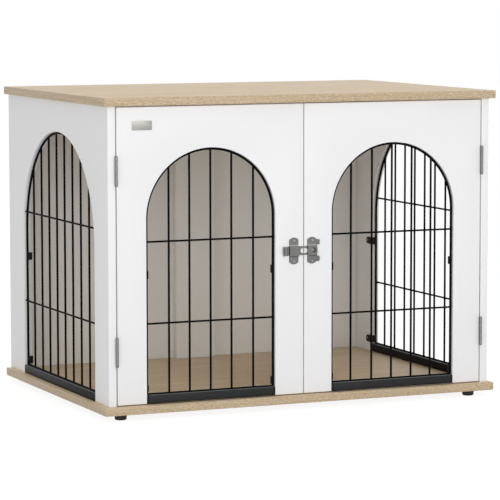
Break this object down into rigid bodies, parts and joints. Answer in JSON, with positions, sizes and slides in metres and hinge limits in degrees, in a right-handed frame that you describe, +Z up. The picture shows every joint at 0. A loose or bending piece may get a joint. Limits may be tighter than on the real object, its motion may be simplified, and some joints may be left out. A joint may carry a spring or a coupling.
{
  "type": "dog crate end table",
  "caption": "White board cabinet with an oak top and base, arched wire grilles in both sides and in two hinged front doors, and a slide bolt across the doors.",
  "frame": {"origin": "middle of the table's footprint, at floor level under the feet", "axes": "+X to the right along the doors' face, +Y from the doors to the back, +Z up"},
  "size_m": [0.8, 0.568, 0.591],
  "materials": {
    "oak_laminate": "light oak laminate, satin",
    "white_laminate": "white laminate over particle board, satin",
    "black_wire": "black powder coat, satin",
    "black_rail": "black powder coat, satin",
    "black_plastic": "moulded black plastic, matte",
    "zinc_steel": "zinc-plated pressed steel",
    "black_rubber": "moulded black rubber, matte"
  },
  "bodies": {
    "cabinet": {"back_centre_stile": "white_laminate", "base_board": "oak_laminate", "foot_back_left": "black_rubber", "foot_back_right": "black_rubber", "foot_front_left": "black_rubber", "foot_front_right": "black_rubber", "left_back_panel": "white_laminate", "left_lower_hinge_cabinet_leaf": "zinc_steel", "left_lower_hinge_pin": "zinc_steel", "left_side_clip_lower_back": "black_plastic", "left_side_clip_lower_front": "black_plastic", "left_side_clip_upper_back": "black_plastic", "left_side_clip_upper_front": "black_plastic", "left_side_grille": "black_wire", "left_side_panel": "white_laminate", "left_side_rail": "black_rail", "left_side_rail_cap_back": "black_plastic", "left_side_rail_cap_front": "black_plastic", "left_upper_hinge_cabinet_leaf": "zinc_steel", "left_upper_hinge_pin": "zinc_steel", "right_back_panel": "white_laminate", "right_lower_hinge_cabinet_leaf": "zinc_steel", "right_lower_hinge_pin": "zinc_steel", "right_side_clip_lower_back": "black_plastic", "right_side_clip_lower_front": "black_plastic", "right_side_clip_upper_back": "black_plastic", "right_side_clip_upper_front": "black_plastic", "right_side_grille": "black_wire", "right_side_panel": "white_laminate", "right_side_rail": "black_rail", "right_side_rail_cap_back": "black_plastic", "right_side_rail_cap_front": "black_plastic", "right_upper_hinge_cabinet_leaf": "zinc_steel", "right_upper_hinge_pin": "zinc_steel", "tabletop": "oak_laminate"},
    "left_door": {"bolt_guide": "zinc_steel", "left_door_clip_lower_left": "black_plastic", "left_door_clip_lower_right": "black_plastic", "left_door_clip_upper_left": "black_plastic", "left_door_clip_upper_right": "black_plastic", "left_door_grille": "black_wire", "left_door_panel": "white_laminate", "left_door_rail": "black_rail", "left_door_rail_cap_left": "black_plastic", "left_door_rail_cap_right": "black_plastic", "left_lower_hinge_door_leaf": "zinc_steel", "left_upper_hinge_door_leaf": "zinc_steel"},
    "right_door": {"bolt_keeper": "zinc_steel", "right_door_clip_lower_left": "black_plastic", "right_door_clip_lower_right": "black_plastic", "right_door_clip_upper_left": "black_plastic", "right_door_clip_upper_right": "black_plastic", "right_door_grille": "black_wire", "right_door_panel": "white_laminate", "right_door_rail": "black_rail", "right_door_rail_cap_left": "black_plastic", "right_door_rail_cap_right": "black_plastic", "right_lower_hinge_door_leaf": "zinc_steel", "right_upper_hinge_door_leaf": "zinc_steel"},
    "sliding_bolt": {"slide_bolt": "zinc_steel"}
  },
  "joints": [
    {"name": "left_door_hinge", "type": "hinge", "parent": "cabinet", "child": "left_door", "pos_m": [-0.3744, -0.277, 0.3], "axis": [0, 0, -1], "range_deg": [0, 175]},
    {"name": "right_door_hinge", "type": "hinge", "parent": "cabinet", "child": "right_door", "pos_m": [0.3744, -0.277, 0.3], "axis": [0, 0, 1], "range_deg": [0, 175]},
    {"name": "bolt_slide", "type": "slide", "parent": "left_door", "child": "sliding_bolt", "axis": [-1, 0, 0], "range_m": [0, 0.03]}
  ]
}
